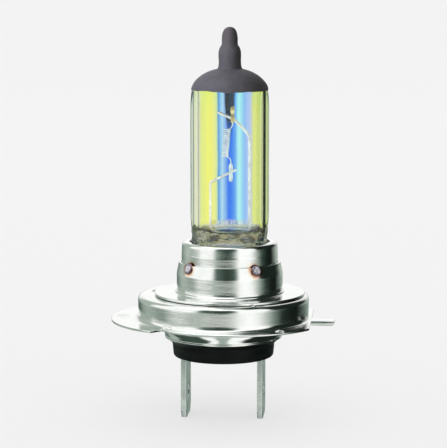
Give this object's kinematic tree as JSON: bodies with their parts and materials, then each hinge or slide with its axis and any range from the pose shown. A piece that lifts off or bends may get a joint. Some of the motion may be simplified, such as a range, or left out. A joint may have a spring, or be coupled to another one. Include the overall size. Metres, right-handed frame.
{
  "type": "headlight bulb",
  "caption": "Single-filament halogen headlight bulb with a tall coated glass tube, dark painted tip, prefocus metal base ring with tongue and key, and two flat contact blades.",
  "frame": {"origin": "centre of the base ring in the reference plane, which passes through the tops of the three seating bosses on the base plate", "axes": "+Z along the bulb towards the glass tip, +X towards the narrow key on the base plate, the wide tongue points to -X"},
  "size_m": [0.0323, 0.028, 0.0563],
  "materials": {
    "quartz": "clear quartz with a thin iridescent coating, blue in the middle and yellow towards the sides",
    "antiglare_paint": "matte dark grey heat-proof paint",
    "tungsten": "drawn tungsten wire",
    "molybdenum": "bright drawn wire and foil",
    "stainless_steel": "bright deep-drawn sheet, nearly polished",
    "weld_metal": "laser weld spots with brown heat tint",
    "insulator_plastic": "near-black moulded heat-proof plastic, slight sheen",
    "tinned_blade": "tin-plated stamped strip, satin"
  },
  "bodies": {
    "root": {"quartz_envelope": "quartz", "antiglare_coat": "antiglare_paint", "filament": "tungsten", "leg_sleeve_lower": "molybdenum", "leg_sleeve_upper": "molybdenum", "lead_wire_short": "molybdenum", "lead_wire_long": "molybdenum", "seal_foil_left": "molybdenum", "seal_foil_right": "molybdenum", "outer_lead_left": "molybdenum", "outer_lead_right": "molybdenum", "collar": "stainless_steel", "press_clip": "stainless_steel", "focus_sleeve": "stainless_steel", "base_ring": "stainless_steel", "retaining_bowl": "stainless_steel", "insulator": "insulator_plastic", "blade_left": "tinned_blade", "blade_right": "tinned_blade", "neck_weld_1": "weld_metal", "neck_weld_2": "weld_metal", "neck_weld_3": "weld_metal", "neck_weld_4": "weld_metal", "flange_weld_1": "weld_metal", "flange_weld_2": "weld_metal", "flange_weld_3": "weld_metal"}
  },
  "joints": []
}
